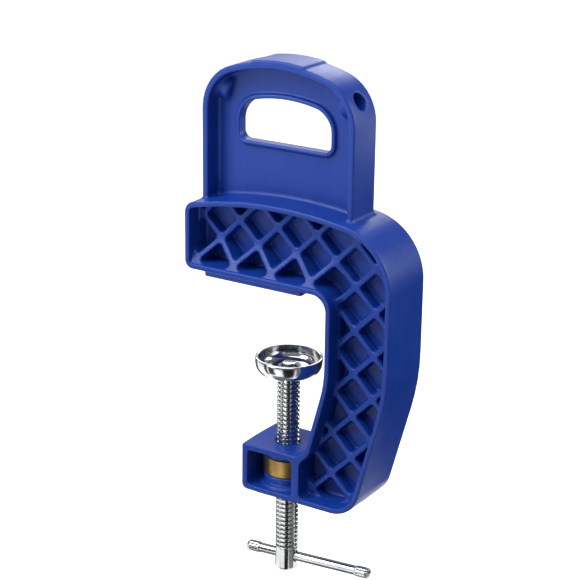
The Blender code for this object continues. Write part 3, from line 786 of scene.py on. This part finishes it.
def handlingGroup():
    # where hands and the bench have been: soft smudges with a few fine scratches
    tree, given, out = makeGroup("handlingMarks", [("Size", 60.0), ("Scratches", 0.5)],
                                 ["Smudge", "Scratch"])
    where = objectSpace(tree)
    cloud = noiseNode(tree, where, given.outputs["Size"], 4.0, 0.55)
    spread = place(tree, "ShaderNodeMapRange")
    sockets(spread, **{"From Min": 0.35, "From Max": 0.7})
    wire(tree, cloud, spread.inputs["Value"])
    wire(tree, spread.outputs["Result"], out.inputs["Smudge"])
    lines = []
    for stretch, turn in (((900.0, 28.0, 28.0), 0.5), ((30.0, 34.0, 1000.0), 1.1)):
        mapping = place(tree, "ShaderNodeMapping")
        mapping.inputs["Rotation"].default_value = (turn, turn * 0.7, turn * 1.9)
        wire(tree, where, mapping.inputs["Vector"])
        streak = noiseNode(tree, mapping.outputs[0], 1.0, 1.0, 0.4, stretch)
        lines.append(mathNode(tree, "GREATER_THAN", streak, 0.735))
    crossed = mathNode(tree, "MAXIMUM", *lines)
    scratch = mathNode(tree, "MULTIPLY", crossed, given.outputs["Scratches"])
    wire(tree, scratch, out.inputs["Scratch"])
    return tree


def turningGroup():
    # fine rings left by the tool round the Z axis
    tree, given, out = makeGroup("turningRings", [("Rings", 1800.0), ("Wander", 0.3)], ["Height"])
    where = objectSpace(tree)
    split = place(tree, "ShaderNodeSeparateXYZ")
    wire(tree, where, split.inputs[0])
    turns = mathNode(tree, "MULTIPLY", given.outputs["Rings"], 2 * math.pi)
    wave = mathNode(tree, "SINE", mathNode(tree, "MULTIPLY", split.outputs["Z"], turns))
    stretched = noiseNode(tree, where, 1.0, 2.0, 0.6, (60.0, 60.0, 4200.0))
    mix = place(tree, "ShaderNodeMix")
    wire(tree, given.outputs["Wander"], mix.inputs["Factor"])
    wire(tree, mathNode(tree, "MULTIPLY_ADD", wave, 0.5, 0.5), mix.inputs["A"])
    wire(tree, stretched, mix.inputs["B"])
    wire(tree, mix.outputs["Result"], out.inputs["Height"])
    return tree


grain = grainGroup()
handling = handlingGroup()
turning = turningGroup()


def startMaterial(name, metallic, **settings):
    made = bpy.data.materials.new(name)
    made.use_nodes = True
    tree = made.node_tree
    return made, tree, sockets(tree.nodes["Principled BSDF"], Metallic=metallic, **settings)


def useGroup(tree, group, **values):
    return sockets(place(tree, "ShaderNodeGroup", node_tree=group), **values)


def rangeNode(tree, value, low, high, fromLow=0.0, fromHigh=1.0):
    node = place(tree, "ShaderNodeMapRange")
    sockets(node, **{"From Min": fromLow, "From Max": fromHigh, "To Min": low, "To Max": high})
    wire(tree, value, node.inputs["Value"])
    return node.outputs["Result"]


def mixColour(tree, factor, a, b, blend="MIX"):
    node = place(tree, "ShaderNodeMix", data_type="RGBA", blend_type=blend)
    wire(tree, factor, node.inputs["Factor"])
    for label, value in (("A", a), ("B", b)):
        socket = [s for s in node.inputs if s.name == label and s.type == "RGBA"][0]
        wire(tree, (*value, 1.0) if isinstance(value, tuple) else value, socket)
    return [s for s in node.outputs if s.type == "RGBA"][0]


def bumpNode(tree, shader, heights):
    # heights is a list of (height, strength, distance in millimetres)
    normal = None
    for height, strength, distance in heights:
        bump = place(tree, "ShaderNodeBump")
        bump.inputs["Strength"].default_value = strength
        bump.inputs["Distance"].default_value = distance * mm
        wire(tree, height, bump.inputs["Height"])
        if normal:
            wire(tree, normal, bump.inputs["Normal"])
        normal = bump.outputs["Normal"]
    wire(tree, normal, shader.inputs["Normal"])


plastic = {
    # the pale tint is used for the fine scratches, which are real wear, and for the painted edge
    # highlight
    "deep": (0.0032, 0.028, 0.220), "fresh": (0.0050, 0.037, 0.268), "paleWearAndHighlight": (0.085, 0.125, 0.430),
    "roughness": (0.33, 0.46), "grainScale": 2600.0,
}
steel = {"light": (0.57, 0.585, 0.59), "dull": (0.43, 0.445, 0.45)}
chrome = {"light": (0.60, 0.61, 0.62), "dull": (0.52, 0.53, 0.55)}
oiledSteel = {"light": (0.16, 0.16, 0.17), "dull": (0.08, 0.08, 0.09)}
brassTone = {
    "bright": (0.46, 0.30, 0.095), "dark": (0.34, 0.21, 0.07), "roughness": (0.34, 0.50),
}


def bluePlastic():
    made, tree, shader = startMaterial("royalBluePlastic", 0.0, **{"Specular IOR Level": 0.27})
    pits = useGroup(tree, grain, Scale=plastic["grainScale"], Softness=0.35)
    marks = useGroup(tree, handling, Size=42.0, Scratches=0.6)
    where = objectSpace(tree)
    # soft flow clouds and faint upright drag lines
    flow = noiseNode(tree, where, 14.0, 4.0, 0.6, (1.0, 1.0, 2.2))
    drag = noiseNode(tree, where, 320.0, 2.0, 0.5, (1.0, 1.0, 0.03))
    blend = mathNode(tree, "ADD", flow, mathNode(tree, "MULTIPLY_ADD", drag, 0.7, -0.1))
    blend = mathNode(tree, "MULTIPLY", blend, 0.85)
    blend = rangeNode(tree, blend, 0.0, 1.0, 0.3, 0.9)
    base = mixColour(tree, blend, plastic["deep"], plastic["fresh"])
    # convex edges lightened towards the pale tint where pointiness is high: a painted edge
    # highlight that stands in for the light lines rounded edges catch, broken up by the smudge mask
    pointed = place(tree, "ShaderNodeNewGeometry").outputs["Pointiness"]
    edge = rangeNode(tree, pointed, 0.0, 1.0, 0.52, 0.60)
    edge = mathNode(tree, "MULTIPLY", edge, rangeNode(tree, marks.outputs["Smudge"], 0.2, 0.55))
    base = mixColour(tree, edge, base, plastic["paleWearAndHighlight"])
    # fine scratches in the same pale tint, which are real wear
    paleLines = mathNode(tree, "MULTIPLY", marks.outputs["Scratch"], 0.08)
    base = mixColour(tree, paleLines, base, plastic["paleWearAndHighlight"])
    wire(tree, base, shader.inputs["Base Color"])
    rough = rangeNode(tree, marks.outputs["Smudge"], *plastic["roughness"])
    rough = mathNode(tree, "ADD", rough, rangeNode(tree, pits.outputs["Speckle"], -0.04, 0.04))
    wire(tree, rough, shader.inputs["Roughness"])
    bumpNode(tree, shader, [(pits.outputs["Height"], 0.35, 0.05),
                            (marks.outputs["Scratch"], 0.15, 0.03)])
    return made


def platedSteel(name, roughness, ringed=False, tone=steel, grainStrength=0.12):
    made, tree, shader = startMaterial(name, 1.0)
    pits = useGroup(tree, grain, Scale=3200.0, Softness=0.6)
    marks = useGroup(tree, handling, Size=95.0, Scratches=0.8)
    base = mixColour(tree, marks.outputs["Smudge"], tone["light"], tone["dull"])
    wire(tree, base, shader.inputs["Base Color"])
    rough = rangeNode(tree, marks.outputs["Smudge"], *roughness)
    rough = mathNode(tree, "ADD", rough, mathNode(tree, "MULTIPLY", marks.outputs["Scratch"], 0.12))
    wire(tree, rough, shader.inputs["Roughness"])
    heights = [(pits.outputs["Height"], grainStrength, 0.04),
               (marks.outputs["Scratch"], 0.12, 0.02)]
    if ringed:
        rings = useGroup(tree, turning, Rings=2600.0, Wander=0.7)
        heights.append((rings.outputs["Height"], 0.10, 0.02))
    bumpNode(tree, shader, heights)
    return made


def turnedBrass():
    made, tree, shader = startMaterial("turnedBrass", 1.0, Anisotropic=0.35)
    rings = useGroup(tree, turning, Rings=2300.0, Wander=0.55)
    marks = useGroup(tree, handling, Size=160.0, Scratches=0.5)
    pits = useGroup(tree, grain, Scale=2600.0, Softness=0.5)
    base = mixColour(tree, marks.outputs["Smudge"], brassTone["bright"], brassTone["dark"])
    wire(tree, base, shader.inputs["Base Color"])
    rough = rangeNode(tree, rings.outputs["Height"], *brassTone["roughness"])
    wire(tree, rough, shader.inputs["Roughness"])
    bumpNode(tree, shader, [(rings.outputs["Height"], 0.25, 0.03),
                            (pits.outputs["Height"], 0.1, 0.03)])
    return made


bluePlasticMaterial = bluePlastic()
zincScrew = platedSteel("brightZincScrew", (0.10, 0.19))
zincBar = platedSteel("brightZincBar", (0.10, 0.20))
zincWasher = platedSteel("brightZincWasher", (0.22, 0.34), ringed=True)
chromePad = platedSteel("polishedChrome", (0.10, 0.18), ringed=True, tone=chrome,
                        grainStrength=0.05)
clipSteel = platedSteel("oiledSpringSteel", (0.30, 0.45), tone=oiledSteel)
brassMaterial = turnedBrass()
print("materials ready")

finishPiece(mouldedFrame(), "frame", "c_frame", bluePlasticMaterial)
print("frame ready")
finishPiece(makeNut(), "frame", "threaded_nut", brassMaterial, 35)
finishPiece(makeSpindle(), "screw", "spindle", zincScrew, 40)
finishPiece(makeRing(), "screw", "retaining_ring", clipSteel, 35)
finishPiece(makeWasher(), "swivel", "thrust_washer", zincWasher, 40)
finishPiece(makePad(), "pad", "pressure_pad", chromePad, 40)
finishPiece(makeBar(), "bar", "tommy_bar", zincBar, 40)
print("metal pieces ready")


studio = {
    "floorBelow": 0.12, "floorSize": 24.0, "floorTone": 0.82, "floorGlow": 0.30,
    "world": 0.26,
    "sun": (2.1, 50.0, 20.0),  # strength, spread and lean in degrees
    "lights": [
        # name, place, size x, size y, power
        ("leftFront", (-0.66, -1.10, 0.54), 0.75, 1.2, 8.0),
        ("frontStrip", (-0.044, -0.42, -0.20), 0.03, 0.15, 0.055),
        ("topLeft", (-0.36, -0.42, 0.50), 0.25, 0.25, 2.6),
        ("rightBack", (1.15, 0.80, 0.50), 0.4, 0.9, 16.5),
        ("backTop", (-0.66, 1.04, 0.66), 1.2, 0.28, 7.0),
    ],
    # cards that only reflections and bounced light meet: turn from straight ahead,
    # distance of the lower and the upper edge, half width, lower and upper z, tone
    "cards": [
        ("frontCard", 31, 0.16, 0.16, 0.056, -0.277, -0.03, 0.008),
        ("leftCard", -27, 0.18, 0.18, 0.035, -0.195, -0.03, 0.050),
        ("outerLeftCard", -49, 0.18, 0.18, 0.019, -0.195, -0.03, 0.050),
        ("sideCard", 82, 0.20, 0.20, 0.100, -0.277, 0.09, 0.200),
        ("backCard", 147.7, 0.22, 0.22, 0.16, -0.255, 0.02, 0.015),
        ("behindCard", -147.7, 0.22, 0.22, 0.09, -0.110, 0.06, 0.200),
        ("farLeftCard", -115, 0.22, 0.22, 0.08, -0.277, -0.04, 0.150),
        ("underCard", -10, -0.04, 0.20, 0.10, -0.275, -0.275, 0.150),
    ],
}


def plainMaterial(name, tone, roughness):
    made, tree, shader = startMaterial(name, 0.0)
    where = objectSpace(tree)
    speck = noiseNode(tree, where, 3.0, 3.0, 0.5)
    paint = mixColour(tree, speck, (tone * 0.985,) * 3, (tone * 1.015,) * 3)
    wire(tree, paint, shader.inputs["Base Color"])
    shader.inputs["Roughness"].default_value = roughness
    return made


def makeStudio():
    low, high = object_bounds()
    centre = (low + high) / 2
    bpy.ops.mesh.primitive_plane_add(size=studio["floorSize"],
                                     location=(0, 0, low.z - studio["floorBelow"]))
    floor = bpy.context.object
    floor.name = "studioFloor"
    paint = plainMaterial("paleFloor", studio["floorTone"], 0.9)
    sockets(paint.node_tree.nodes["Principled BSDF"],
            **{"Emission Color": (1, 1, 1, 1), "Emission Strength": studio["floorGlow"]})
    floor.data.materials.append(paint)
    for name, degrees, near, far, half, bottom, top, tone in studio["cards"]:
        turn = math.radians(degrees)
        outward = Vector((math.sin(turn), -math.cos(turn), 0))
        across = Vector((math.cos(turn), math.sin(turn), 0)) * half
        mesh = bpy.data.meshes.new(name)
        corners = [outward * away + across * side + Vector((0, 0, z)) for side, away, z in
                   ((-1, near, bottom), (1, near, bottom), (1, far, top), (-1, far, top))]
        mesh.from_pydata(corners, [], [(0, 1, 2, 3)])
        mesh.materials.append(plainMaterial(name, tone, 0.9))
        card = newObject(name, mesh)
        card.visible_camera = False
        card.visible_shadow = False
    for name, where, width, height, power in studio["lights"]:
        lamp = bpy.data.lights.new(name, "AREA")
        lamp.shape = "RECTANGLE"
        lamp.size = width
        lamp.size_y = height
        lamp.energy = power
        obj = newObject(name, lamp)
        obj.location = where
        obj.rotation_euler = (centre - Vector(where)).to_track_quat("-Z", "Y").to_euler()
    sun = bpy.data.lights.new("zenith", "SUN")
    sun.energy, spread, lean = studio["sun"]
    sun.angle = math.radians(spread)
    newObject("zenith", sun).rotation_euler = (math.radians(lean), 0.0, 0.0)
    world = bpy.data.worlds.new("studioWorld")
    world.use_nodes = True
    sockets(world.node_tree.nodes["Background"], Color=(1, 1, 1, 1), Strength=studio["world"])
    bpy.context.scene.world = world


view = {
    "place": (0.4490, -0.7104, 0.2822), "right": (0.8428, 0.5381, 0.0131),
    "up": (-0.1839, 0.2650, 0.9465), "back": (0.5058, -0.8001, 0.3223), "lens": 108.9,
}


def makeCamera():
    camera = bpy.data.cameras.new("mainCamera")
    camera.lens = view["lens"]
    camera.sensor_width = 36.0
    camera.clip_start = 0.01
    camera.clip_end = 100.0
    obj = newObject("mainCamera", camera)
    turn = Matrix((view["right"], view["up"], view["back"])).transposed().to_4x4()
    obj.matrix_world = Matrix.Translation(view["place"]) @ turn
    bpy.context.scene.camera = obj


makeStudio()
makeCamera()
bpy.context.scene.view_settings.view_transform = "Standard"
print("studio ready")
